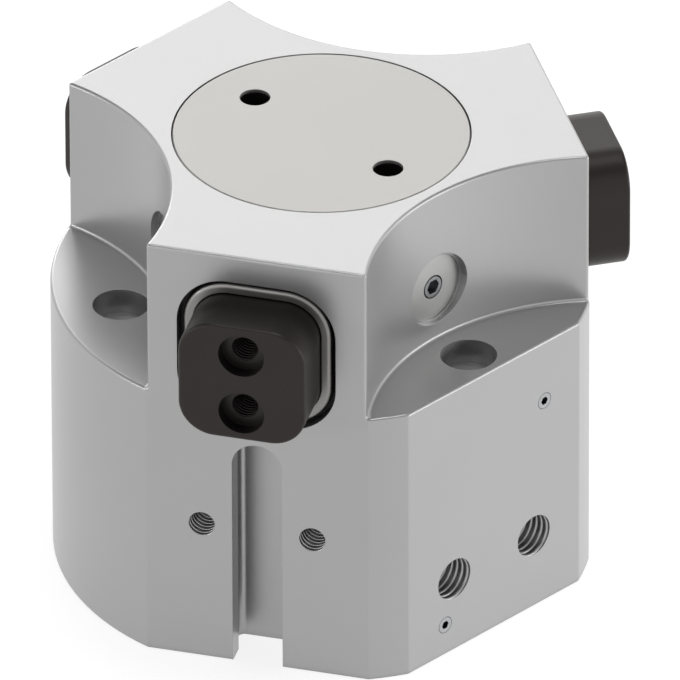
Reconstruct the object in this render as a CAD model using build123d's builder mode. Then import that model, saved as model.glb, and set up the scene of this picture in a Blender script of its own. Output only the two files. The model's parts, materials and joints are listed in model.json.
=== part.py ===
from build123d import *
from math import asin, cos, degrees, radians, sin, sqrt
import os

os.makedirs("parts", exist_ok=True)

# Sealed three-jaw gripper. One air piston lifts a wedge hook that draws all jaws in.
# Millimetres. The origin is the centre of the base face and +Z points up to the cover.
# The first jaw points along -Y. It is drawn at rest: piston down, jaws fully out.

# Outside of the housing
body_radius = 30.0
body_height = 52.7
jaw_flat_distance = 27.2
port_flat_distance = 26.9
shelf_height = 34.05
scoop_wall_distance = 18.0
scoop_radius = 26.5
scoop_foot_radius = 0.4
corner_blend = 0.6
edge_break = 0.35

# Where things stand around the axis, in degrees
jaw_count = 3
first_jaw_angle = -90
port_angle = -30
pin_hole_angle = 60

# Jaws
jaw_width = 14.4
jaw_height = 14.4
jaw_corner = 4.0
jaw_reach = 33.4
jaw_stroke = 4.0
jaw_edge_break = 0.4
jaw_inner_gap = 0.25
jaw_rod_gap = 0.5
guide_clearance = 0.06
sleeve_radius = 2.6
sleeve_depth = 1.6
jaw_thread_radius = 1.5
jaw_thread_depth = 8.0
jaw_thread_spacing = 7.35

# Pocket round each jaw, with its wiper and its bright frame
pocket_margin = 1.8
pocket_depth = 3.0
wiper_thickness = 1.2
wiper_clearance = 0.1
frame_thickness = 1.45
frame_width = 1.25
frame_clearance = 0.05
frame_rounding = 0.55
frame_inner_rounding = 0.1

# Sensor slots and side threads in the jaw flats
slot_width = 5.7
slot_top = 28.6
slot_lip = 2.4
slot_depth = 5.55
undercut_width = 7.2
undercut_corner = 0.8
side_thread_radius = 1.5
side_thread_depth = 5.0
side_thread_spacing = 12.6
side_thread_height = 17.4

# Air ports, the drillings behind them and the small screws that close these
port_radius = 2.5
port_depth = 6.0
port_spacing = 12.4
port_height = 9.35
drilling_radius = 0.6
drilling_inset = 5.0
drilling_floor_gap = 0.35
drilling_end_gap = 0.3
lower_drilling_side = -7.6
upper_drilling_side = 7.85
channel_screw_radius = 1.0
channel_screw_clearance = 0.06
channel_screw_length = 2.5
channel_screw_flats = 0.9
channel_screw_socket = 1.2

# Screw holes through the shelves and the pin hole in the base
mounting_circle_radius = 22.9
mounting_hole_radius = 1.65
screw_head_radius = 3.15
screw_head_depth = 3.1
base_thread_radius = 2.0
base_thread_depth = 8.0
pin_hole_radius = 1.5
pin_hole_depth = 5.0

# Top cover: a cap and the thin plate on it
cover_thickness = 4.2
cover_plate_thickness = 0.4
cover_wall = 1.45
cover_clearance = 0.1
cover_edge_break = 0.15
cover_groove_height = 1.1
spanner_hole_radius = 1.7
spanner_hole_depth = 2.6
spanner_hole_spacing = 20.8

# Domed plug with a screw at its centre, one in each scoop
plug_radius = 4.0
plug_thickness = 1.0
plug_crown = 0.1
plug_seat_web = 1.1
plug_step = 0.33
plug_step_depth = 0.45
purge_hole_radius = 0.6
plug_screw_radius = 1.25
plug_screw_clearance = 0.17
plug_screw_sink = 0.5
plug_screw_flats = 1.6
plug_screw_socket = 1.2

# Wedge chamber and wedge hook
chamber_wall = 2.8
jaw_top_gap = 0.9
jaw_floor_gap = 2.0
wedge_slope = 0.5
hook_core_radius = 13.0
hook_end_gap = 0.3
hook_face_gap = 0.2
rail_wall_gap = 0.9
rail_neck_width = 4.0
rail_neck_depth = 1.5
rail_head_width = 7.6
rail_head_depth = 1.8
rail_clearance = 0.1

# Partition below the chamber, with bush, seal and washer for the rod
bush_length = 1.9
bush_wall = 1.2
rod_clearance = 0.03
rod_seal_length = 1.5
rod_seal_width = 2.7
rod_seal_clearance = 0.05
rod_washer_thickness = 0.6
rod_washer_clearance = 0.3

# Piston rod, nut and the screw of the hook
rod_radius = 5.0
rod_tail_radius = 3.5
rod_tail_length = 3.6
rod_spigot_radius = 3.0
rod_spigot_length = 3.0
rod_edge_break = 0.3
nut_flats = 10.0
nut_thickness = 3.2
nut_recess_gap = 1.4
nut_recess_spare = 1.0
hook_screw_radius = 2.0
hook_screw_length = 12.0
hook_screw_head_radius = 3.5
hook_screw_head_height = 4.0
hook_screw_flats = 3.0
hook_screw_socket = 2.0
hook_screw_clearance = 0.2

# Piston and its rings
piston_bore_radius = 17.5
piston_clearance = 0.1
ring_clearance = 0.05
stop_gap = 0.2
piston_relief_depth = 2.4
seal_width = 2.0
seal_depth = 1.6
seal_lip = 0.4
magnet_width = 2.2
magnet_depth = 2.4
magnet_sink = 0.1
guide_ring_width = 1.2
guide_ring_depth = 0.9
guide_ring_gap = 0.8

# Base cover with its centring bore, seal and retaining ring
shoulder_height = 3.0
shoulder_width = 1.5
base_clearance = 0.05
base_rim_radius = 14.0
base_flange_thickness = 1.6
base_boss_radius = 15.5
base_boss_height = 1.6
centring_radius = 6.0
centring_depth = 3.0
retaining_thickness = 1.0
retaining_groove_depth = 0.7
retaining_clearance = 0.1
retaining_width = 2.6
retaining_gap_angle = 26.0
retaining_eye_radius = 1.7
retaining_eye_hole_radius = 0.8
cord_radius = 0.4
cord_groove_spare = 0.1

# Sizes and places that follow from those above
sector = 360 / jaw_count
jaw_angles = [first_jaw_angle + sector * n for n in range(jaw_count)]
scoop_angles = [port_angle + sector * n for n in range(jaw_count)]
cover_seat_height = body_height - cover_thickness
cover_seat_radius = scoop_wall_distance - cover_wall
chamber_radius = scoop_wall_distance - chamber_wall
jaw_axis_height = cover_seat_height - jaw_top_gap - jaw_height / 2
chamber_floor = jaw_axis_height - jaw_height / 2 - jaw_floor_gap
rod_seal_bottom = chamber_floor - rod_washer_thickness - rod_seal_length
bore_top = rod_seal_bottom - bush_length
rod_seal_radius = rod_radius + rod_seal_width
bush_radius = rod_radius + bush_wall
seat_radius = piston_bore_radius + shoulder_width
retaining_top = shoulder_height - base_flange_thickness
retaining_bottom = retaining_top - retaining_thickness
lower_drilling_height = shoulder_height + drilling_floor_gap + drilling_radius
upper_drilling_height = bore_top - drilling_end_gap - drilling_radius
plug_floor_distance = chamber_radius + plug_seat_web
plug_top_distance = plug_floor_distance + plug_thickness + plug_crown
piston_radius = piston_bore_radius - piston_clearance
piston_stroke = jaw_stroke / wedge_slope
piston_bottom = shoulder_height + base_boss_height + stop_gap
piston_top = bore_top - stop_gap - piston_stroke
piston_rings = 2 * seal_width + magnet_width + guide_ring_width
piston_land = (piston_top - piston_bottom - piston_rings) / 7
nut_top = piston_bottom + nut_thickness + nut_recess_spare
hook_bottom = chamber_floor + hook_end_gap
hook_top = cover_seat_height - hook_end_gap - piston_stroke
hook_seat = hook_top - hook_screw_head_height - hook_screw_clearance
hook_face_distance = chamber_radius - rail_wall_gap - rail_head_depth - rail_neck_depth


def outward_plane(angle, distance, height=0.0):
    """Upright plane that faces outward. Its x runs sideways and its y runs up."""
    turn = radians(angle)
    origin = (distance * cos(turn), distance * sin(turn), height)
    return Plane(origin, x_dir=(-sin(turn), cos(turn), 0), z_dir=(cos(turn), sin(turn), 0))


def radial_plane(angle, distance, height):
    """Upright plane through the axis. Its x runs outward and its y runs up."""
    turn = radians(angle)
    origin = (distance * cos(turn), distance * sin(turn), height)
    return Plane(origin, x_dir=(cos(turn), sin(turn), 0), z_dir=(sin(turn), -cos(turn), 0))


def wedge_plane(angle, distance):
    """Slanting plane of a wedge face, at this distance from the axis at the jaws' middle."""
    turn = radians(angle)
    origin = (distance * cos(turn), distance * sin(turn), jaw_axis_height)
    return Plane(origin, z_dir=(cos(turn), sin(turn), -wedge_slope))


def wedge_direction(angle):
    """Step along a wedge face for each millimetre of height."""
    turn = radians(angle)
    return Vector(wedge_slope * cos(turn), wedge_slope * sin(turn), 1)


def rail_section(angle, height, spare=0.0):
    """Level section of a T-rail at a height, or with some spare room, of its slot."""
    face = hook_face_distance + wedge_slope * (height - jaw_axis_height)
    with BuildSketch(Plane.XY.offset(height)) as section:
        with PolarLocations(face - rail_neck_depth, 1, start_angle=angle):
            Rectangle(2 * rail_neck_depth + rail_head_depth / 2, rail_neck_width + 2 * spare,
                      align=(Align.MIN, Align.CENTER))
        with PolarLocations(face + rail_neck_depth - spare, 1, start_angle=angle):
            Rectangle(rail_head_depth + 2 * spare, rail_head_width + 2 * spare,
                      align=(Align.MIN, Align.CENTER))
    return section.sketch


# Rounded tool that scoops a side and leaves a shelf
with BuildPart() as scoop_tool:
    with BuildSketch(Plane.XY.offset(shelf_height)):
        Circle(scoop_radius)
    extrude(amount=body_height)
    fillet(scoop_tool.edges().group_by(Axis.Z)[0], scoop_foot_radius)

# Jaw guide with the pocket at its mouth and the two side threads, for a jaw along +X
with BuildPart() as guide_tool:
    with BuildSketch(outward_plane(0, jaw_flat_distance, jaw_axis_height)):
        RectangleRounded(jaw_width + 2 * guide_clearance, jaw_height + 2 * guide_clearance,
                         jaw_corner + guide_clearance)
    extrude(amount=-jaw_flat_distance)
    with BuildSketch(outward_plane(0, jaw_flat_distance, jaw_axis_height)):
        RectangleRounded(jaw_width + 2 * pocket_margin, jaw_height + 2 * pocket_margin,
                         jaw_corner + pocket_margin)
    extrude(amount=-pocket_depth)
    with BuildSketch(outward_plane(0, jaw_flat_distance, side_thread_height)):
        with GridLocations(side_thread_spacing, side_thread_spacing, 2, 1):
            Circle(side_thread_radius)
    extrude(amount=-side_thread_depth)

# Undercut slot for a sensor, round at the top and open at the base
with BuildPart() as slot_tool:
    with BuildSketch(outward_plane(0, jaw_flat_distance - slot_lip)):
        SlotCenterToCenter(2 * slot_top - slot_width, undercut_width, rotation=90)
    extrude(amount=slot_lip - slot_depth)
    fillet(slot_tool.edges().group_by(Axis.X)[0], undercut_corner)
    with BuildSketch(outward_plane(0, jaw_flat_distance)):
        SlotCenterToCenter(2 * slot_top - slot_width, slot_width, rotation=90)
    extrude(amount=-slot_depth + undercut_corner)

# Housing, milled from one bar
with BuildPart() as housing:
    with BuildSketch():
        Circle(body_radius)
        with PolarLocations(jaw_flat_distance, jaw_count, start_angle=first_jaw_angle):
            Rectangle(body_radius, 2 * body_radius, align=(Align.MIN, Align.CENTER), mode=Mode.SUBTRACT)
        with PolarLocations(port_flat_distance, 1, start_angle=port_angle):
            Rectangle(body_radius, 2 * body_radius, align=(Align.MIN, Align.CENTER), mode=Mode.SUBTRACT)
    extrude(amount=body_height)
    fillet(housing.edges().filter_by(Axis.Z), corner_blend)
    with PolarLocations(scoop_wall_distance + scoop_radius, jaw_count, start_angle=port_angle):
        add(scoop_tool.part, mode=Mode.SUBTRACT)

    # Broken edges round the base, the top and the upright edges between them
    contours = housing.edges().group_by(Axis.Z)
    uprights = housing.edges().filter_by(Axis.Z).filter_by_position(Axis.Z, shelf_height, body_height)
    fillet(contours[0] + contours[-1] + uprights, edge_break)

    # Turned cavity for the base cover, the piston, the rod, the hook and the top cover
    with BuildSketch(Plane.XZ):
        with BuildLine():
            Polyline(
                (0, 0),
                (seat_radius, 0),
                (seat_radius, retaining_bottom),
                (seat_radius + retaining_groove_depth, retaining_bottom),
                (seat_radius + retaining_groove_depth, retaining_top),
                (seat_radius, retaining_top),
                (seat_radius, shoulder_height),
                (piston_bore_radius, shoulder_height),
                (piston_bore_radius, bore_top),
                (bush_radius, bore_top),
                (bush_radius, rod_seal_bottom),
                (rod_seal_radius, rod_seal_bottom),
                (rod_seal_radius, chamber_floor),
                (chamber_radius, chamber_floor),
                (chamber_radius, cover_seat_height),
                (cover_seat_radius, cover_seat_height),
                (cover_seat_radius, body_height),
                (0, body_height),
                close=True,
            )
        make_face()
    revolve(axis=Axis.Z, mode=Mode.SUBTRACT)

    # What is milled from the three jaw flats
    with PolarLocations(0, jaw_count, start_angle=first_jaw_angle):
        add(guide_tool.part, mode=Mode.SUBTRACT)
        add(slot_tool.part, mode=Mode.SUBTRACT)

    # Stepped seat of the domed plug in each scoop, with its screw's hole and the purge hole behind
    for angle in scoop_angles:
        with BuildSketch(outward_plane(angle, scoop_wall_distance - plug_step_depth, jaw_axis_height)):
            Circle(plug_radius + plug_step)
        extrude(amount=body_radius, mode=Mode.SUBTRACT)
        with BuildSketch(outward_plane(angle, plug_floor_distance, jaw_axis_height)):
            Circle(plug_radius)
        extrude(amount=body_radius, mode=Mode.SUBTRACT)
        with BuildSketch(outward_plane(angle, plug_floor_distance, jaw_axis_height)):
            Circle(plug_screw_radius + plug_screw_clearance)
        extrude(amount=-plug_screw_sink, mode=Mode.SUBTRACT)
        with BuildSketch(outward_plane(angle, plug_floor_distance, jaw_axis_height)):
            Circle(purge_hole_radius)
        extrude(amount=-2 * plug_seat_web, mode=Mode.SUBTRACT)

    # Screw holes from the shelves, threaded at the base, and the hole for a locating pin
    with Locations(Plane.XY.offset(shelf_height)):
        with PolarLocations(mounting_circle_radius, jaw_count, start_angle=port_angle):
            CounterBoreHole(mounting_hole_radius, screw_head_radius, screw_head_depth, shelf_height)
    with BuildSketch():
        with PolarLocations(mounting_circle_radius, jaw_count, start_angle=port_angle):
            Circle(base_thread_radius)
    extrude(amount=base_thread_depth, mode=Mode.SUBTRACT)
    with BuildSketch():
        with PolarLocations(mounting_circle_radius, 1, start_angle=pin_hole_angle):
            Circle(pin_hole_radius)
    extrude(amount=pin_hole_depth, mode=Mode.SUBTRACT)

    # Two air ports in the port flat
    with BuildSketch(outward_plane(port_angle, port_flat_distance, port_height)):
        with GridLocations(port_spacing, port_spacing, 2, 1):
            Circle(port_radius)
    extrude(amount=-port_depth, mode=Mode.SUBTRACT)

    # Drillings that lead from the ports to the bore, below and above the piston
    for side, level in ((lower_drilling_side, lower_drilling_height),
                        (upper_drilling_side, upper_drilling_height)):
        bore_wall = sqrt(piston_bore_radius ** 2 - side ** 2)
        with BuildSketch(outward_plane(port_angle, port_flat_distance)):
            with Locations((side, level)):
                Circle(drilling_radius)
        extrude(amount=bore_wall - drilling_radius - port_flat_distance, mode=Mode.SUBTRACT)
        with BuildSketch(outward_plane(port_angle, port_flat_distance)):
            with Locations((side, level)):
                Circle(channel_screw_radius)
        extrude(amount=-channel_screw_length, mode=Mode.SUBTRACT)
        with BuildSketch():
            with PolarLocations(port_flat_distance - drilling_inset, 1, start_angle=port_angle):
                with Locations((0, side)):
                    Circle(drilling_radius)
        extrude(amount=max(level, port_height), mode=Mode.SUBTRACT)
        with BuildSketch():
            with PolarLocations(port_flat_distance - drilling_inset, 1, start_angle=port_angle):
                with Locations((0, side)):
                    Circle(channel_screw_radius)
        extrude(amount=channel_screw_length, mode=Mode.SUBTRACT)

housing.part.label = "housing"
export_step(housing.part, "parts/housing.step")

# Top cover: round cap with a seal groove in its rim and two holes for a pin spanner
with BuildPart() as top_cover:
    with BuildSketch(Plane.XY.offset(cover_seat_height)):
        Circle(cover_seat_radius - cover_clearance)
    extrude(amount=cover_thickness - cover_plate_thickness)
    with BuildSketch(Plane.XY.offset(cover_seat_height + cover_groove_height)):
        Circle(cover_seat_radius)
        Circle(cover_seat_radius - 2 * cord_radius, mode=Mode.SUBTRACT)
    extrude(amount=2 * (cord_radius + cord_groove_spare), mode=Mode.SUBTRACT)
    with BuildSketch(Plane.XY.offset(body_height)):
        with PolarLocations(spanner_hole_spacing / 2, 2, start_angle=port_angle):
            Circle(spanner_hole_radius)
    extrude(amount=-spanner_hole_depth, mode=Mode.SUBTRACT)

top_cover.part.label = "top_cover"
export_step(top_cover.part, "parts/top_cover.step")

# Thin plate on the cap, flush with the housing, with the same two holes
with BuildPart() as cover_plate:
    with BuildSketch(Plane.XY.offset(body_height)):
        Circle(cover_seat_radius - cover_clearance)
    extrude(amount=-cover_plate_thickness)
    chamfer(cover_plate.edges().group_by(Axis.Z)[-1], cover_edge_break)
    with BuildSketch(Plane.XY.offset(body_height)):
        with PolarLocations(spanner_hole_spacing / 2, 2, start_angle=port_angle):
            Circle(spanner_hole_radius)
    extrude(amount=-cover_plate_thickness, mode=Mode.SUBTRACT)

cover_plate.part.label = "cover_plate"
export_step(cover_plate.part, "parts/cover_plate.step")

# Seal ring in the rim of the top cover
with BuildPart() as top_cover_seal:
    cord_height = cover_seat_height + cover_groove_height + cord_radius + cord_groove_spare
    with BuildSketch(radial_plane(0, cover_seat_radius - cord_radius, cord_height)):
        Circle(cord_radius)
    revolve(axis=Axis.Z)

top_cover_seal.part.label = "top_cover_seal"
export_step(top_cover_seal.part, "parts/top_cover_seal.step")

# Base cover: turned disc with the centring bore below and a seal groove in its flange
seal_circle_radius = seat_radius - base_clearance - cord_groove_spare - 2 * cord_radius
with BuildPart() as base_cover:
    with BuildSketch(Plane.XZ):
        with BuildLine():
            Polyline(
                (0, centring_depth),
                (centring_radius, centring_depth),
                (centring_radius, 0),
                (base_rim_radius, 0),
                (base_rim_radius, retaining_top),
                (seat_radius - base_clearance, retaining_top),
                (seat_radius - base_clearance, shoulder_height),
                (base_boss_radius, shoulder_height),
                (base_boss_radius, shoulder_height + base_boss_height),
                (0, shoulder_height + base_boss_height),
                close=True,
            )
        make_face()
    revolve(axis=Axis.Z)
    with BuildSketch(Plane.XY.offset(shoulder_height)):
        Circle(seal_circle_radius + cord_radius + cord_groove_spare)
        Circle(seal_circle_radius - cord_radius - cord_groove_spare, mode=Mode.SUBTRACT)
    extrude(amount=-2 * cord_radius, mode=Mode.SUBTRACT)

base_cover.part.label = "base_cover"
export_step(base_cover.part, "parts/base_cover.step")

# Seal ring between the base cover and the shoulder of the housing
with BuildPart() as base_cover_seal:
    with BuildSketch(radial_plane(0, seal_circle_radius, shoulder_height - cord_radius)):
        Circle(cord_radius)
    revolve(axis=Axis.Z)

base_cover_seal.part.label = "base_cover_seal"
export_step(base_cover_seal.part, "parts/base_cover_seal.step")

# Retaining ring: open spring ring with an eye at each end
ring_outer_radius = seat_radius + retaining_groove_depth - retaining_clearance
eye_circle_radius = ring_outer_radius - retaining_groove_depth - retaining_eye_radius
eye_half_angle = retaining_gap_angle / 2 + degrees(retaining_eye_radius / eye_circle_radius)
with BuildPart() as retaining_ring:
    with BuildSketch(Plane.XY.offset(retaining_bottom)):
        Circle(ring_outer_radius)
        Circle(ring_outer_radius - retaining_width, mode=Mode.SUBTRACT)
        with BuildLine():
            half_gap = radians(retaining_gap_angle / 2)
            far_side = 2 * ring_outer_radius
            Polyline(
                (0, 0),
                (far_side * sin(half_gap), far_side * cos(half_gap)),
                (-far_side * sin(half_gap), far_side * cos(half_gap)),
                close=True,
            )
        make_face(mode=Mode.SUBTRACT)
        for angle in (90 - eye_half_angle, 90 + eye_half_angle):
            with PolarLocations(eye_circle_radius, 1, start_angle=angle):
                Circle(retaining_eye_radius)
                Circle(retaining_eye_hole_radius, mode=Mode.SUBTRACT)
    extrude(amount=retaining_thickness)

retaining_ring.part.label = "retaining_ring"
export_step(retaining_ring.part, "parts/retaining_ring.step")

# Jaw with its guided body, slanting T-slot and two threads for a finger, along +X
with BuildPart() as jaw_form:
    with BuildSketch(outward_plane(0, jaw_reach, jaw_axis_height)):
        RectangleRounded(jaw_width, jaw_height, jaw_corner)
    extrude(amount=-jaw_reach)
    fillet(jaw_form.edges().group_by(Axis.X)[-1], jaw_edge_break)
    split(bisect_by=wedge_plane(0, hook_face_distance + hook_face_gap), keep=Keep.TOP)

    # The inner end clears the other two jaws and the rod when the jaws are closed
    half_sector = radians(sector / 2)
    corner = (jaw_stroke + jaw_inner_gap / sin(half_sector), 0, 0)
    for side in (-1, 1):
        split(bisect_by=Plane(corner, z_dir=(sin(half_sector), side * cos(half_sector), 0)), keep=Keep.TOP)
    with BuildSketch():
        with Locations((jaw_stroke, 0)):
            Circle(rod_radius + jaw_rod_gap)
    extrude(amount=body_height, mode=Mode.SUBTRACT)

    slot_bottom = chamber_floor
    slot_length = (cover_seat_height - slot_bottom) * wedge_direction(0).length
    extrude(to_extrude=rail_section(0, slot_bottom, rail_clearance), amount=slot_length,
            dir=wedge_direction(0), mode=Mode.SUBTRACT)
    with Locations(outward_plane(0, jaw_reach, jaw_axis_height)):
        with GridLocations(jaw_thread_spacing, jaw_thread_spacing, 1, 2):
            CounterBoreHole(jaw_thread_radius, sleeve_radius, sleeve_depth, jaw_thread_depth)

for number, angle in enumerate(jaw_angles, start=1):
    with BuildPart() as jaw:
        add(jaw_form.part, rotation=(0, 0, angle))

    jaw.part.label = f"jaw_{number}"
    export_step(jaw.part, f"parts/jaw_{number}.step")

    # Wiper that fills the pocket round the jaw
    with BuildPart() as jaw_wiper:
        with BuildSketch(outward_plane(angle, jaw_flat_distance - pocket_depth, jaw_axis_height)):
            RectangleRounded(jaw_width + 2 * pocket_margin, jaw_height + 2 * pocket_margin,
                             jaw_corner + pocket_margin)
            RectangleRounded(jaw_width + 2 * wiper_clearance, jaw_height + 2 * wiper_clearance,
                             jaw_corner + wiper_clearance, mode=Mode.SUBTRACT)
        extrude(amount=wiper_thickness)

    jaw_wiper.part.label = f"jaw_wiper_{number}"
    export_step(jaw_wiper.part, f"parts/jaw_wiper_{number}.step")

    # Bright frame with a rounded face, on top of the wiper
    with BuildPart() as wiper_frame:
        frame_outer = frame_clearance + frame_width
        frame_back = jaw_flat_distance - pocket_depth + wiper_thickness
        with BuildSketch(outward_plane(angle, frame_back, jaw_axis_height)):
            RectangleRounded(jaw_width + 2 * frame_outer, jaw_height + 2 * frame_outer,
                             jaw_corner + frame_outer)
            RectangleRounded(jaw_width + 2 * frame_clearance, jaw_height + 2 * frame_clearance,
                             jaw_corner + frame_clearance, mode=Mode.SUBTRACT)
        extrude(amount=frame_thickness)
        outward = Axis((0, 0, 0), (cos(radians(angle)), sin(radians(angle)), 0))
        fillet(wiper_frame.faces().sort_by(outward)[-1].outer_wire().edges(), frame_rounding)
        fillet(wiper_frame.faces().sort_by(outward)[-1].inner_wires()[0].edges(), frame_inner_rounding)

    wiper_frame.part.label = f"wiper_frame_{number}"
    export_step(wiper_frame.part, f"parts/wiper_frame_{number}.step")

for number, angle in enumerate(scoop_angles, start=1):
    # Domed plug in the scoop, with a hole for its screw
    dome_radius = (plug_radius ** 2 + plug_crown ** 2) / (2 * plug_crown)
    section_plane = radial_plane(angle, plug_floor_distance, jaw_axis_height)
    with BuildPart() as purge_plug:
        with BuildSketch(section_plane):
            with BuildLine():
                dome = CenterArc((plug_thickness + plug_crown - dome_radius, 0), dome_radius, 0,
                                 degrees(asin(plug_radius / dome_radius)))
                Polyline(dome @ 1, (0, plug_radius), (0, 0), dome @ 0)
            make_face()
        revolve(axis=Axis(section_plane.origin, section_plane.x_dir))
        with Locations(outward_plane(angle, plug_top_distance, jaw_axis_height)):
            Hole(plug_screw_radius + plug_screw_clearance)

    purge_plug.part.label = f"purge_plug_{number}"
    export_step(purge_plug.part, f"parts/purge_plug_{number}.step")

    # Headless screw at the centre of the plug, sunk into the housing below it
    with BuildPart() as purge_plug_screw:
        with BuildSketch(outward_plane(angle, plug_top_distance, jaw_axis_height)):
            Circle(plug_screw_radius)
        extrude(amount=-plug_thickness - plug_crown - plug_screw_sink)
        with BuildSketch(outward_plane(angle, plug_top_distance, jaw_axis_height)):
            RegularPolygon(plug_screw_flats / 2, 6, major_radius=False)
        extrude(amount=-plug_screw_socket, mode=Mode.SUBTRACT)

    purge_plug_screw.part.label = f"purge_plug_screw_{number}"
    export_step(purge_plug_screw.part, f"parts/purge_plug_screw_{number}.step")

# Headless screws that close the drillings, two in the port flat and two in the base
port_flat = outward_plane(port_angle, port_flat_distance)
drilling_row = outward_plane(port_angle, port_flat_distance - drilling_inset)
channel_mouths = [
    ("lower_channel_screw", (lower_drilling_side, lower_drilling_height, 0), port_flat, port_flat.z_dir),
    ("upper_channel_screw", (upper_drilling_side, upper_drilling_height, 0), port_flat, port_flat.z_dir),
    ("lower_base_screw", (lower_drilling_side, 0, 0), drilling_row, (0, 0, -1)),
    ("upper_base_screw", (upper_drilling_side, 0, 0), drilling_row, (0, 0, -1)),
]
for name, place, plane, outward in channel_mouths:
    mouth = Plane(plane.from_local_coords(place), z_dir=outward)
    with BuildPart() as channel_screw:
        with BuildSketch(mouth):
            Circle(channel_screw_radius - channel_screw_clearance)
        extrude(amount=-channel_screw_length)
        with BuildSketch(mouth):
            RegularPolygon(channel_screw_flats / 2, 6, major_radius=False)
        extrude(amount=-channel_screw_socket, mode=Mode.SUBTRACT)

    channel_screw.part.label = name
    export_step(channel_screw.part, f"parts/{name}.step")

# Bush that guides the piston rod through the partition
with BuildPart() as rod_bush:
    with BuildSketch(Plane.XY.offset(bore_top)):
        Circle(bush_radius)
        Circle(rod_radius + rod_clearance, mode=Mode.SUBTRACT)
    extrude(amount=bush_length)

rod_bush.part.label = "rod_bush"
export_step(rod_bush.part, "parts/rod_bush.step")

# Rod seal with its lips towards the piston
with BuildPart() as rod_seal:
    with BuildSketch(Plane.XZ):
        with BuildLine():
            lip_root = rod_seal_bottom + rod_seal_length / 2
            Polyline(
                (rod_radius + rod_seal_clearance, rod_seal_bottom),
                (rod_radius + rod_seal_clearance + seal_lip, rod_seal_bottom),
                (rod_radius + rod_seal_width / 2, lip_root),
                (rod_seal_radius - seal_lip, rod_seal_bottom),
                (rod_seal_radius, rod_seal_bottom),
                (rod_seal_radius, rod_seal_bottom + rod_seal_length),
                (rod_radius + rod_seal_clearance, rod_seal_bottom + rod_seal_length),
                close=True,
            )
        make_face()
    revolve(axis=Axis.Z)

rod_seal.part.label = "rod_seal"
export_step(rod_seal.part, "parts/rod_seal.step")

# Washer that holds the rod seal down
with BuildPart() as rod_seal_washer:
    with BuildSketch(Plane.XY.offset(chamber_floor - rod_washer_thickness)):
        Circle(rod_seal_radius)
        Circle(rod_radius + rod_washer_clearance, mode=Mode.SUBTRACT)
    extrude(amount=rod_washer_thickness)

rod_seal_washer.part.label = "rod_seal_washer"
export_step(rod_seal_washer.part, "parts/rod_seal_washer.step")

# Heights of the grooves round the piston. Its rings, its two relieved ends and the lands
# between them follow one another, and all but the rings are equally high.
lower_seal_bottom = piston_bottom + 2 * piston_land
magnet_bottom = lower_seal_bottom + seal_width + piston_land
guide_ring_bottom = magnet_bottom + magnet_width + piston_land
upper_seal_bottom = guide_ring_bottom + guide_ring_width + piston_land

# Piston with grooves for its rings, relieved ends and a recess for the nut
with BuildPart() as piston:
    with BuildSketch(Plane.XY.offset(piston_bottom)):
        Circle(piston_radius)
    extrude(amount=piston_top - piston_bottom)
    for bottom, width, depth in (
        (piston_bottom, piston_land, piston_relief_depth),
        (lower_seal_bottom, seal_width, seal_depth),
        (magnet_bottom, magnet_width, magnet_depth),
        (guide_ring_bottom, guide_ring_width, guide_ring_depth),
        (upper_seal_bottom, seal_width, seal_depth),
        (piston_top - piston_land, piston_land, piston_relief_depth),
    ):
        with BuildSketch(Plane.XY.offset(bottom)):
            Circle(piston_radius)
            Circle(piston_radius - depth, mode=Mode.SUBTRACT)
        extrude(amount=width, mode=Mode.SUBTRACT)
    with BuildSketch(Plane.XY.offset(piston_bottom)):
        Circle(rod_tail_radius)
    extrude(amount=piston_top - piston_bottom, mode=Mode.SUBTRACT)
    with BuildSketch(Plane.XY.offset(piston_bottom)):
        Circle(nut_flats / sqrt(3) + nut_recess_gap)
    extrude(amount=nut_top - piston_bottom, mode=Mode.SUBTRACT)

piston.part.label = "piston"
export_step(piston.part, "parts/piston.step")

# Lip seals of the piston, each with its lips towards its own side of the bore
for name, root, edge in (("lower", lower_seal_bottom + seal_width, lower_seal_bottom),
                         ("upper", upper_seal_bottom, upper_seal_bottom + seal_width)):
    seal_inner = piston_radius - seal_depth
    seal_outer = piston_bore_radius - ring_clearance
    with BuildPart() as piston_seal:
        with BuildSketch(Plane.XZ):
            with BuildLine():
                Polyline(
                    (seal_inner, root),
                    (seal_outer, root),
                    (seal_outer, edge),
                    (seal_outer - seal_lip, edge),
                    ((seal_inner + seal_outer) / 2, (root + edge) / 2),
                    (seal_inner + seal_lip, edge),
                    (seal_inner, edge),
                    close=True,
                )
            make_face()
        revolve(axis=Axis.Z)

    piston_seal.part.label = f"piston_seal_{name}"
    export_step(piston_seal.part, f"parts/piston_seal_{name}.step")

# Magnet ring that the sensors in the slots detect
with BuildPart() as piston_magnet:
    with BuildSketch(Plane.XY.offset(magnet_bottom)):
        Circle(piston_radius - magnet_sink)
        Circle(piston_radius - magnet_depth, mode=Mode.SUBTRACT)
    extrude(amount=magnet_width)

piston_magnet.part.label = "piston_magnet"
export_step(piston_magnet.part, "parts/piston_magnet.step")

# Guide ring, slit so that it snaps into its groove
with BuildPart() as piston_guide_ring:
    with BuildSketch(Plane.XY.offset(guide_ring_bottom)):
        Circle(piston_bore_radius - ring_clearance)
        Circle(piston_radius - guide_ring_depth, mode=Mode.SUBTRACT)
        with Locations((piston_bore_radius, 0)):
            Rectangle(4 * guide_ring_depth, guide_ring_gap, mode=Mode.SUBTRACT)
    extrude(amount=guide_ring_width)

piston_guide_ring.part.label = "piston_guide_ring"
export_step(piston_guide_ring.part, "parts/piston_guide_ring.step")

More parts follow.
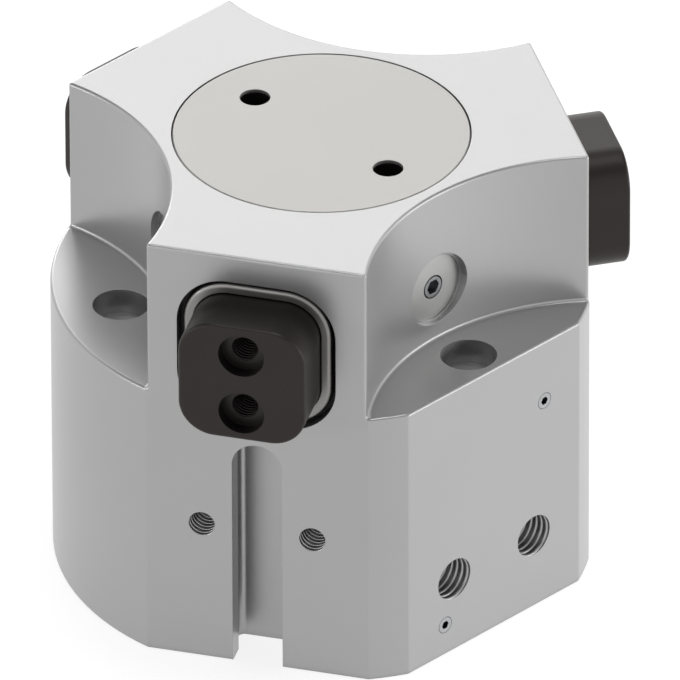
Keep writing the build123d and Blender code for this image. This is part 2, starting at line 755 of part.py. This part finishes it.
# Piston rod: a tail through the piston, a spigot in the hook and a thread for its screw
with BuildPart() as piston_rod:
    with BuildSketch(Plane.XY.offset(nut_top - rod_tail_length)):
        Circle(rod_tail_radius)
    extrude(amount=piston_top - nut_top + rod_tail_length)
    with BuildSketch(Plane.XY.offset(piston_top)):
        Circle(rod_radius)
    extrude(amount=hook_bottom - piston_top)
    with BuildSketch(Plane.XY.offset(hook_bottom)):
        Circle(rod_spigot_radius)
    extrude(amount=rod_spigot_length)
    chamfer(piston_rod.edges().group_by(Axis.Z)[0] + piston_rod.edges().group_by(Axis.Z)[-1], rod_edge_break)
    with BuildSketch(Plane.XY.offset(hook_seat - hook_screw_length)):
        Circle(hook_screw_radius)
    extrude(amount=hook_screw_length, mode=Mode.SUBTRACT)

piston_rod.part.label = "piston_rod"
export_step(piston_rod.part, "parts/piston_rod.step")

# Nut that clamps the piston to its rod
with BuildPart() as piston_nut:
    with BuildSketch(Plane.XY.offset(nut_top - nut_thickness)):
        RegularPolygon(nut_flats / 2, 6, major_radius=False)
        Circle(rod_tail_radius, mode=Mode.SUBTRACT)
    extrude(amount=nut_thickness)

piston_nut.part.label = "piston_nut"
export_step(piston_nut.part, "parts/piston_nut.step")

# Wedge hook: three slanting faces, each with a T-rail that holds a jaw
with BuildPart() as wedge_hook:
    with BuildSketch(Plane.XY.offset(hook_bottom)):
        Circle(hook_core_radius)
    extrude(amount=hook_top - hook_bottom)
    for angle in jaw_angles:
        split(bisect_by=wedge_plane(angle, hook_face_distance), keep=Keep.BOTTOM)
    for angle in jaw_angles:
        rail_length = (hook_top - hook_bottom) * wedge_direction(angle).length
        extrude(to_extrude=rail_section(angle, hook_bottom), amount=rail_length, dir=wedge_direction(angle))
    with BuildSketch(Plane.XY.offset(hook_bottom)):
        Circle(rod_spigot_radius)
    extrude(amount=rod_spigot_length, mode=Mode.SUBTRACT)
    with Locations((0, 0, hook_top)):
        CounterBoreHole(hook_screw_radius, hook_screw_head_radius + hook_screw_clearance,
                        hook_top - hook_seat)

wedge_hook.part.label = "wedge_hook"
export_step(wedge_hook.part, "parts/wedge_hook.step")

# Cap screw that holds the hook on the rod
with BuildPart() as hook_screw:
    with BuildSketch(Plane.XY.offset(hook_seat - hook_screw_length)):
        Circle(hook_screw_radius)
    extrude(amount=hook_screw_length)
    with BuildSketch(Plane.XY.offset(hook_seat)):
        Circle(hook_screw_head_radius)
    extrude(amount=hook_screw_head_height)
    with BuildSketch(Plane.XY.offset(hook_seat + hook_screw_head_height)):
        RegularPolygon(hook_screw_flats / 2, 6, major_radius=False)
    extrude(amount=-hook_screw_socket, mode=Mode.SUBTRACT)

hook_screw.part.label = "hook_screw"
export_step(hook_screw.part, "parts/hook_screw.step")
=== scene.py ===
import json
import math

import bpy
from mathutils import Matrix, Vector


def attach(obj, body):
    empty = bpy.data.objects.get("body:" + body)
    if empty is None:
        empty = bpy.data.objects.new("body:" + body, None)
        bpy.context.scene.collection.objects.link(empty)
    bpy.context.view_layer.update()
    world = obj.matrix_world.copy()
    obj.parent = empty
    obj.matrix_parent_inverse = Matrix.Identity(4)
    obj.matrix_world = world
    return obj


# Sealed three-jaw gripper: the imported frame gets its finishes, its threads, a floor and light.
# Metres. The origin is the centre of the base face, and the first jaw points along -Y.
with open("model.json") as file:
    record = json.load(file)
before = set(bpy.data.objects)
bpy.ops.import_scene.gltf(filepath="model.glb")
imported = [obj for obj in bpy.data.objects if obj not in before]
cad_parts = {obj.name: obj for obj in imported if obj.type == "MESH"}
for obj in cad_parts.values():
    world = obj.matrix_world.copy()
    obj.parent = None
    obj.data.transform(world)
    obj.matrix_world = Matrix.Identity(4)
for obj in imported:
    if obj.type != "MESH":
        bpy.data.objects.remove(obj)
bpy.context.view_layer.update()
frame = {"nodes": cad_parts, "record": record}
nodes = frame["nodes"]

millimetre = 0.001


def linear(hexColour):  # sRGB hex to the linear colour that shaders take
    channels = [int(hexColour[i:i + 2], 16) / 255 for i in (1, 3, 5)]
    lit = [c / 12.92 if c <= 0.04045 else ((c + 0.055) / 1.055) ** 2.4 for c in channels]
    return (*lit, 1)


def towards(azimuth, elevation=0):  # unit vector, azimuth in degrees from -Y towards +X
    a, e = math.radians(azimuth), math.radians(elevation)
    return Vector((math.sin(a) * math.cos(e), -math.cos(a) * math.cos(e), math.sin(e)))


def addNode(tree, kind, inputs=None, **settings):  # an input takes a value or another node's output
    node = tree.nodes.new(kind)
    for name, value in settings.items():
        setattr(node, name, value)
    for name, value in (inputs or {}).items():
        if isinstance(value, bpy.types.NodeSocket):
            tree.links.new(value, node.inputs[name])
        else:
            node.inputs[name].default_value = value
    return node


# Camera with so long a lens that upright edges stay parallel
cameraValues = {
    "lens": 1327.9,  # mm, on a sensor 36 mm wide
    "distance": 2.7747,
    "azimuth": 15.34,
    "elevation": 32.51,
    "roll": 0.174,
    "middle": (0, 0, 0.025),
    "toTheRight": 0.001979,  # how far the middle of the picture lies from that point
    "upwards": 0.000554,
    "clip": (0.5, 20),
}


def makeCamera(values):
    back = towards(values["azimuth"], values["elevation"])
    level = towards(values["azimuth"] + 90)
    rise = back.cross(level)
    roll = math.radians(values["roll"])
    right = level * math.cos(roll) - rise * math.sin(roll)
    up = level * math.sin(roll) + rise * math.cos(roll)
    data = bpy.data.cameras.new("studioCamera")
    data.lens = values["lens"]
    data.clip_start, data.clip_end = values["clip"]
    camera = bpy.data.objects.new("studioCamera", data)
    bpy.context.scene.collection.objects.link(camera)
    aim = Vector(values["middle"]) + right * values["toTheRight"] + up * values["upwards"]
    turn = Matrix((right, up, back)).transposed()
    camera.matrix_world = Matrix.Translation(aim + back * values["distance"]) @ turn.to_4x4()
    bpy.context.scene.camera = camera


makeCamera(cameraValues)
bpy.context.scene.view_settings.view_transform = "Standard"
print("camera made")


# Finishes. Sizes are in millimetres: "cloud" is the size of the slow drift in tone, "grain" the
# size of the fine marks and "relief" how high these stand.
finishValues = {
    # Aluminium, milled, blasted and clear anodised: light grey, with blurred reflections that
    # show what is near. The real grit is 0.05 mm. It is drawn at 0.2 mm, where it just shows.
    "anodisedAluminium": {
        "tones": ("#B2B2B2", "#B6B6B6"), "metallic": 0.7, "roughness": (0.29, 0.35),
        "cloud": 14, "grain": 0.2, "relief": 0.0004, "marks": "blasted",
    },
    # Aluminium, fine turned and anodised: warmer, with rings that are 0.08 mm apart on the
    # real one and drawn 0.3 mm apart, where they just show
    "turnedAluminium": {
        "tones": ("#AFAEAB", "#B3B2AF"), "metallic": 0.6, "roughness": (0.36, 0.42),
        "cloud": 10, "grain": 0.3, "relief": 0.0003, "marks": "turned",
    },
    # Aluminium plug, turned and tumbled: smoother than the cover, with no rings left
    "tumbledAluminium": {
        "tones": ("#B8B8B7", "#BEBEBD"), "metallic": 0.6, "roughness": (0.32, 0.38),
        "cloud": 4, "grain": 0.15, "relief": 0.0003, "marks": "blasted",
    },
    # Tool steel, ground and blackened in an oxide bath: deep warm grey with a soft sheen
    "blackenedSteel": {
        "tones": ("#2F2A28", "#353030"), "metallic": 0.7, "roughness": (0.38, 0.46),
        "cloud": 6, "grain": 0.15, "relief": 0.0004, "marks": "blasted",
    },
    # Stainless steel, stamped and tumbled: middle grey, with a soft highlight along its rounding
    "stampedStainless": {
        "tones": ("#858482", "#8D8C8A"), "metallic": 1.0, "roughness": (0.36, 0.44),
        "cloud": 5, "grain": 0.12, "relief": 0.0002, "marks": "drawn",
    },
    # Steel, zinc plated: bright grey with a faint blue cast
    "zincSteel": {
        "tones": ("#A9ABAD", "#B7B9BB"), "metallic": 1.0, "roughness": (0.25, 0.35),
        "cloud": 3, "grain": 0.1, "relief": 0.0002, "marks": "turned",
    },
    # Spring steel strip, oiled: dark with a soft gloss
    "springSteel": {
        "tones": ("#55555A", "#606065"), "metallic": 1.0, "roughness": (0.30, 0.40),
        "cloud": 6, "grain": 0.15, "relief": 0.0003, "marks": "drawn",
    },
    # Steel, case hardened and ground: plain grey with fine lines
    "groundSteel": {
        "tones": ("#8B8B8A", "#979796"), "metallic": 1.0, "roughness": (0.28, 0.38),
        "cloud": 6, "grain": 0.15, "relief": 0.0003, "marks": "drawn",
    },
    # Steel rod, ground and hard chromed: bright and smooth
    "chromedRod": {
        "tones": ("#C4C5C6", "#CCCDCE"), "metallic": 1.0, "roughness": (0.12, 0.18),
        "cloud": 8, "grain": 0.1, "relief": 0.0001, "marks": "turned",
    },
    # Cap screw in black oxide: near black with a soft gloss
    "blackOxideScrew": {
        "tones": ("#262525", "#2E2D2D"), "metallic": 0.6, "roughness": (0.35, 0.45),
        "cloud": 3, "grain": 0.12, "relief": 0.0003, "marks": "blasted",
    },
    # Bronze, sintered and oil filled: brown gold, open grained
    "sinteredBronze": {
        "tones": ("#97713C", "#A9824A"), "metallic": 0.9, "roughness": (0.40, 0.55),
        "cloud": 3, "grain": 0.15, "relief": 0.001, "marks": "blasted",
    },
    # Nitrile rubber, moulded: near black and matt
    "mouldedRubber": {
        "tones": ("#222121", "#2A2929"), "metallic": 0.0, "roughness": (0.50, 0.62),
        "cloud": 4, "grain": 0.2, "relief": 0.0006, "marks": "blasted",
    },
    # Magnet powder bound in plastic, pressed: dark grey, faintly speckled
    "boundMagnet": {
        "tones": ("#2D2D2F", "#3B3B3D"), "metallic": 0.2, "roughness": (0.50, 0.65),
        "cloud": 1, "grain": 0.15, "relief": 0.0008, "marks": "blasted",
    },
    # Filled PTFE strip, skived: ivory and waxy
    "skivedPlastic": {
        "tones": ("#C9C3AE", "#D3CDB9"), "metallic": 0.0, "roughness": (0.40, 0.50),
        "cloud": 4, "grain": 0.2, "relief": 0.0004, "marks": "drawn",
    },
}

# What every finish shares. Sizes in millimetres.
sharedFinishValues = {
    "deburred": 0.08,  # radius of an edge, for its shading
    "recess": 2.0,  # how near a wall has to stand to shut a place in
    "openness": (0.05, 0.50),  # share of open sky at which the painted shade is darkest, and at which it is gone
    "darkest": 0.30,  # what the painted shade leaves of the tone
    "samples": 4,  # rays that look for the walls of a recess, or for an edge
    "markRange": (0.3, 0.7),  # what most values of a noise or wave lie between
    "drawnStretch": (0.08, 1, 1),  # draws the marks out along X
    "unevenRings": 0.6,
}


def makeFinish(name, values):
    material = bpy.data.materials.new(name)
    material.use_nodes = True
    tree = material.node_tree
    shader = tree.nodes["Principled BSDF"]
    place = addNode(tree, "ShaderNodeTexCoord").outputs["Object"]
    grain = 1 / (values["grain"] * millimetre)
    cloud = addNode(tree, "ShaderNodeTexNoise", {
        "Vector": place, "Scale": 1 / (values["cloud"] * millimetre), "Detail": 3,
    })
    tone = addNode(tree, "ShaderNodeMix", {"Factor": cloud.outputs["Fac"]}, data_type="RGBA")
    for socket, colour in zip([s for s in tone.inputs if s.type == "RGBA"], values["tones"]):
        socket.default_value = linear(colour)
    # Painted shade: the tone is darkened where nearby walls shut a place in, as in threads, sockets
    # and the bottoms of holes
    openness = addNode(tree, "ShaderNodeAmbientOcclusion", {
        "Distance": sharedFinishValues["recess"] * millimetre,
    }, samples=sharedFinishValues["samples"])
    fullShadeAt, clear = sharedFinishValues["openness"]
    paintedShadeFactor = addNode(tree, "ShaderNodeMapRange", {
        "Value": openness.outputs["AO"], "From Min": fullShadeAt, "From Max": clear,
        "To Min": sharedFinishValues["darkest"], "To Max": 1.0,
    })
    colour = addNode(tree, "ShaderNodeVectorMath", {
        0: [s for s in tone.outputs if s.type == "RGBA"][0], 1: paintedShadeFactor.outputs["Result"],
    }, operation="MULTIPLY")
    if values["marks"] == "turned":  # rings round the upright axis, their phase a little uneven
        # At a scale of 1 the rings are pi / 10 apart
        marks = addNode(tree, "ShaderNodeTexWave", {
            "Vector": place, "Scale": math.pi / 10 * grain, "Distortion": sharedFinishValues["unevenRings"],
            "Detail": 2, "Detail Scale": 0.4,
        }, wave_type="RINGS", rings_direction="Z")
    else:
        if values["marks"] == "drawn":  # long fine lines
            place = addNode(tree, "ShaderNodeMapping", {
                "Vector": place, "Scale": sharedFinishValues["drawnStretch"],
            }).outputs["Vector"]
        marks = addNode(tree, "ShaderNodeTexNoise", {"Vector": place, "Scale": grain, "Detail": 2})
    least, most = sharedFinishValues["markRange"]
    smooth, rough = values["roughness"]
    gloss = addNode(tree, "ShaderNodeMapRange", {
        "Value": marks.outputs["Fac"], "From Min": least, "From Max": most,
        "To Min": smooth, "To Max": rough,
    })
    # Deburred edges: the shading is rounded where two faces meet
    rounded = addNode(tree, "ShaderNodeBevel", {
        "Radius": sharedFinishValues["deburred"] * millimetre,
    }, samples=sharedFinishValues["samples"])
    bump = addNode(tree, "ShaderNodeBump", {
        "Height": marks.outputs["Fac"], "Distance": values["relief"] * millimetre, "Strength": 1,
        "Normal": rounded.outputs["Normal"],
    })
    shader.inputs["Metallic"].default_value = values["metallic"]
    tree.links.new(colour.outputs["Vector"], shader.inputs["Base Color"])
    tree.links.new(gloss.outputs["Result"], shader.inputs["Roughness"])
    tree.links.new(bump.outputs["Normal"], shader.inputs["Normal"])
    return material


finishes = {name: makeFinish(name, values) for name, values in finishValues.items()}

# Which finish dresses each material slot of the record
slotFinishes = {
    "anodised_aluminium": "anodisedAluminium", "turned_aluminium": "turnedAluminium",
    "plug_aluminium": "tumbledAluminium", "blackened_steel": "blackenedSteel",
    "bright_frame": "stampedStainless", "spring_steel": "springSteel",
    "hardened_steel": "groundSteel", "zinc_steel": "zincSteel", "black_screw": "blackOxideScrew",
    "ground_rod": "chromedRod", "bush_bronze": "sinteredBronze", "seal_rubber": "mouldedRubber",
    "magnet_compound": "boundMagnet", "guide_plastic": "skivedPlastic",
}
for part in frame["record"]["subparts"]:
    for slot in nodes[part["node"]].material_slots:
        slot.material = finishes[slotFinishes[part["material_slot"]]]
print("finishes:", len(finishes))


# Threads: one ridge coiled inside each tapped hole. Sizes in millimetres. A mouth is an angle
# round the axis from +X, a distance from the axis, a shift sideways and a height. With no
# height it lies in the base. The side holes are M3, with a pitch of 0.5 mm on the real one.
# They are drawn at 0.62 mm, where the ridges show as clearly as in the real hole.
jawAngles = (-90, 30, 150)
threadValues = {
    "portThreads": {
        "body": "housing_body", "slot": "anodised_aluminium",
        "radius": 2.5, "pitch": 0.8, "length": 5.2, "start": 0.1,
        "mouths": [(-30, 26.9, side, 9.35) for side in (-6.2, 6.2)],
    },
    "sideThreads": {
        "body": "housing_body", "slot": "anodised_aluminium",
        "radius": 1.5, "pitch": 0.62, "length": 4.6, "start": 0.05,
        "mouths": [(angle, 27.2, side, 17.4) for angle in jawAngles for side in (-6.3, 6.3)],
    },
    "baseThreads": {
        "body": "housing_body", "slot": "anodised_aluminium",
        "radius": 2.0, "pitch": 0.7, "length": 7.2, "start": 0.35,
        "mouths": [(angle, 22.9, 0, None) for angle in (-30, 90, 210)],
    },
}
for number, angle in enumerate(jawAngles, start=1):
    threadValues[f"jawThreads{number}"] = {
        "body": f"jaw_{number}_body", "slot": "blackened_steel",
        "radius": 1.5, "pitch": 0.5, "length": 6.0, "start": 0.02,
        "mouths": [(angle, 31.8, 0, 40.4 + rise) for rise in (-3.675, 3.675)],
    }

# The ridge for a pitch of 1: its foot in the wall, its crest towards the axis of the hole
ridgeValues = {
    "foot": 0.04,
    "footHalfWidth": 0.44,
    "crest": -0.54,
    "crestHalfWidth": 0.125,
    "stepsInTurn": 40,
    "runOut": 0.33,  # part of a turn over which it runs out to next to nothing at both ends
    "thinnest": 0.05,
}


def makeThreadTree(values):
    tree = bpy.data.node_groups.new("coiledRidge", "GeometryNodeTree")
    tree.interface.new_socket("Mouths", in_out="INPUT", socket_type="NodeSocketGeometry")
    for name in ("Radius", "Pitch", "Length", "Start"):
        tree.interface.new_socket(name, in_out="INPUT", socket_type="NodeSocketFloat")
    tree.interface.new_socket("Finish", in_out="INPUT", socket_type="NodeSocketMaterial")
    tree.interface.new_socket("Threads", in_out="OUTPUT", socket_type="NodeSocketGeometry")
    given = addNode(tree, "NodeGroupInput").outputs
    turns = addNode(tree, "ShaderNodeMath", {
        0: given["Length"], 1: given["Pitch"],
    }, operation="DIVIDE").outputs[0]
    coil = addNode(tree, "GeometryNodeCurveSpiral", {
        "Resolution": values["stepsInTurn"], "Rotations": turns, "Start Radius": given["Radius"],
        "End Radius": given["Radius"], "Height": given["Length"],
    })
    coil = addNode(tree, "GeometryNodeSetCurveNormal", {"Curve": coil.outputs[0]}, mode="Z_UP")
    foot, crest = values["foot"], values["crest"]
    wide, narrow = values["footHalfWidth"], values["crestHalfWidth"]
    ridge = addNode(tree, "GeometryNodeCurvePrimitiveQuadrilateral", {
        "Point 1": (foot, -wide, 0), "Point 2": (foot, wide, 0),
        "Point 3": (crest, narrow, 0), "Point 4": (crest, -narrow, 0),
    }, mode="POINTS")
    ridge = addNode(tree, "GeometryNodeTransform", {
        "Geometry": ridge.outputs[0], "Scale": given["Pitch"],
    })
    # How many turns lie between a point of the coil and its nearer end
    along = addNode(tree, "GeometryNodeSplineParameter").outputs["Factor"]
    rest = addNode(tree, "ShaderNodeMath", {0: 1.0, 1: along}, operation="SUBTRACT").outputs[0]
    nearer = addNode(tree, "ShaderNodeMath", {0: along, 1: rest}, operation="MINIMUM").outputs[0]
    turned = addNode(tree, "ShaderNodeMath", {0: nearer, 1: turns}, operation="MULTIPLY").outputs[0]
    thickness = addNode(tree, "ShaderNodeMapRange", {
        "Value": turned, "From Max": values["runOut"], "To Min": values["thinnest"], "To Max": 1.0,
    }).outputs[0]
    body = addNode(tree, "GeometryNodeCurveToMesh", {
        "Curve": coil.outputs[0], "Profile Curve": ridge.outputs[0], "Scale": thickness,
        "Fill Caps": True,
    })
    # Every coil is sunk into its hole, and turned so that it faces out of it
    depth = addNode(tree, "ShaderNodeMath", {
        0: given["Start"], 1: given["Length"],
    }, operation="ADD").outputs[0]
    sink = addNode(tree, "ShaderNodeMath", {0: depth, 1: -1.0}, operation="MULTIPLY").outputs[0]
    shift = addNode(tree, "ShaderNodeCombineXYZ", {"Z": sink}).outputs[0]
    body = addNode(tree, "GeometryNodeTransform", {
        "Geometry": body.outputs[0], "Translation": shift,
    })
    facing = addNode(tree, "GeometryNodeInputNamedAttribute", {
        "Name": "facing",
    }, data_type="FLOAT_VECTOR")
    turn = addNode(tree, "FunctionNodeAlignRotationToVector", {
        "Vector": facing.outputs[0],
    }, axis="Z")
    placed = addNode(tree, "GeometryNodeInstanceOnPoints", {
        "Points": given["Mouths"], "Instance": body.outputs[0], "Rotation": turn.outputs[0],
    })
    solid = addNode(tree, "GeometryNodeRealizeInstances", {"Geometry": placed.outputs[0]})
    dressed = addNode(tree, "GeometryNodeSetMaterial", {
        "Geometry": solid.outputs[0], "Material": given["Finish"],
    })
    addNode(tree, "NodeGroupOutput", {"Threads": dressed.outputs[0]})
    return tree


def makeThreads(name, values, tree):
    points, facings = [], []
    for angle, distance, side, height in values["mouths"]:
        out = towards(angle + 90)
        across = towards(angle + 180)
        point = (out * distance + across * side) * millimetre
        points.append((point.x, point.y, (height or 0) * millimetre))
        facings.append(out if height else Vector((0, 0, -1)))
    mesh = bpy.data.meshes.new(name)
    mesh.from_pydata(points, [], [])
    facing = mesh.attributes.new("facing", "FLOAT_VECTOR", "POINT")
    for item, vector in zip(facing.data, facings):
        item.vector = vector
    holder = bpy.data.objects.new(name + "Points", mesh)
    bpy.context.scene.collection.objects.link(holder)
    modifier = holder.modifiers.new("coils", "NODES")
    modifier.node_group = tree
    given = {
        "Radius": values["radius"] * millimetre, "Pitch": values["pitch"] * millimetre,
        "Length": values["length"] * millimetre, "Start": values["start"] * millimetre,
        "Finish": finishes[slotFinishes[values["slot"]]],
    }
    for item in tree.interface.items_tree:
        if item.name in given:
            modifier[item.identifier] = given[item.name]
    evaluated = holder.evaluated_get(bpy.context.evaluated_depsgraph_get())
    plain = bpy.data.meshes.new_from_object(evaluated)
    bpy.data.objects.remove(holder)
    thread = bpy.data.objects.new(name, plain)
    bpy.context.scene.collection.objects.link(thread)
    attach(thread, values["body"])
    print(name, len(plain.polygons), "faces")


threadTree = makeThreadTree(ridgeValues)
for name, values in threadValues.items():
    makeThreads(name, values, threadTree)


# Floor and surroundings: white to the eye and in reflections, apart from a dark ceiling, and
# dimmer as a source of light
studioValues = {
    "floorSize": 4.0,
    "floorColour": "#9A9A9A",
    "floorGlow": 0.85,  # what a seen floor adds to its own lit colour
    "ambient": 0.06,  # how much of its brightness the room gives as light
    "ceiling": (0.45, 0.85),  # from and to which sine of the elevation the room darkens
    "ceilingTone": 0.10,  # what is left of its brightness overhead
}


def seenRays(tree):  # 1 for rays from the camera, and for those that metal or glass send on
    path = addNode(tree, "ShaderNodeLightPath").outputs
    either = addNode(tree, "ShaderNodeMath", {
        0: path["Is Camera Ray"], 1: path["Is Glossy Ray"],
    }, operation="MAXIMUM")
    return addNode(tree, "ShaderNodeMath", {
        0: either.outputs[0], 1: path["Is Transmission Ray"],
    }, operation="MAXIMUM").outputs[0]


def makeFloor(values):
    half = values["floorSize"] / 2
    corners = [(-half, -half, 0), (half, -half, 0), (half, half, 0), (-half, half, 0)]
    mesh = bpy.data.meshes.new("studioFloor")
    mesh.from_pydata(corners, [], [(0, 1, 2, 3)])
    floor = bpy.data.objects.new("studioFloor", mesh)
    bpy.context.scene.collection.objects.link(floor)
    paper = bpy.data.materials.new("whitePaper")
    paper.use_nodes = True
    tree = paper.node_tree
    tree.nodes.clear()
    matt = addNode(tree, "ShaderNodeBsdfDiffuse", {"Color": linear(values["floorColour"])})
    glow = addNode(tree, "ShaderNodeMath", {
        0: seenRays(tree), 1: values["floorGlow"],
    }, operation="MULTIPLY")
    light = addNode(tree, "ShaderNodeEmission", {"Strength": glow.outputs[0]})
    both = addNode(tree, "ShaderNodeAddShader", {0: matt.outputs[0], 1: light.outputs[0]})
    addNode(tree, "ShaderNodeOutputMaterial", {"Surface": both.outputs[0]})
    mesh.materials.append(paper)


def makeRoom(values):
    world = bpy.data.worlds.new("studioWorld")
    world.use_nodes = True
    tree = world.node_tree
    tree.nodes.clear()
    strength = addNode(tree, "ShaderNodeMapRange", {
        "Value": seenRays(tree), "To Min": values["ambient"],
    })
    direction = addNode(tree, "ShaderNodeTexCoord").outputs["Generated"]
    rise = addNode(tree, "ShaderNodeSeparateXYZ", {"Vector": direction}).outputs["Z"]
    low, high = values["ceiling"]
    room = addNode(tree, "ShaderNodeMapRange", {
        "Value": rise, "From Min": low, "From Max": high,
        "To Min": 1, "To Max": values["ceilingTone"],
    }, interpolation_type="SMOOTHSTEP")
    sky = addNode(tree, "ShaderNodeBackground", {
        "Color": room.outputs[0], "Strength": strength.outputs[0],
    })
    addNode(tree, "ShaderNodeOutputWorld", {"Surface": sky.outputs[0]})
    bpy.context.scene.world = world


makeFloor(studioValues)
makeRoom(studioValues)

# Softboxes: where each stands as seen from the camera's middle point, the width and height of
# its face in metres and how bright that is. The one that isn't mirrored lights the port side
# without drawing hard white lines along the metal's edges.
lampDistance = 0.7
lampValues = {
    "lampAbove": {
        "azimuth": 0, "elevation": 90, "face": (0.36, 0.36), "radiance": 4.2, "mirrored": True,
    },
    "lampBehind": {
        "azimuth": 195, "elevation": 36, "face": (0.6, 0.3), "radiance": 1.5, "mirrored": True,
    },
    "lampBehindLow": {
        "azimuth": 210, "elevation": 12, "face": (0.3, 0.2), "radiance": 4.0, "mirrored": True,
    },
    "lampRight": {
        "azimuth": 100, "elevation": 7, "face": (0.42, 0.2), "radiance": 2.6, "mirrored": True,
    },
    "lampRightFill": {
        "azimuth": 106, "elevation": 8, "face": (0.42, 0.2), "radiance": 16.5, "mirrored": False,
    },
    "lampLeft": {
        "azimuth": 309, "elevation": 6, "face": (0.3, 0.14), "radiance": 4.8, "mirrored": True,
    },
    "lampFrontLeft": {
        "azimuth": 341, "elevation": 25, "face": (0.25, 0.3), "radiance": 1.0, "mirrored": True,
    },
}


def makeLamp(name, values):
    data = bpy.data.lights.new(name, "AREA")
    data.shape = "RECTANGLE"
    data.size, data.size_y = values["face"]
    data.energy = values["radiance"] * math.pi * data.size * data.size_y
    lamp = bpy.data.objects.new(name, data)
    bpy.context.scene.collection.objects.link(lamp)
    out = towards(values["azimuth"], values["elevation"])
    lamp.location = out * lampDistance + Vector(cameraValues["middle"])
    lamp.rotation_euler = out.to_track_quat("Z", "Y").to_euler()
    lamp.visible_camera = False
    lamp.visible_glossy = values["mirrored"]


for name, values in lampValues.items():
    makeLamp(name, values)
print("studio made, lamps:", len(lampValues))
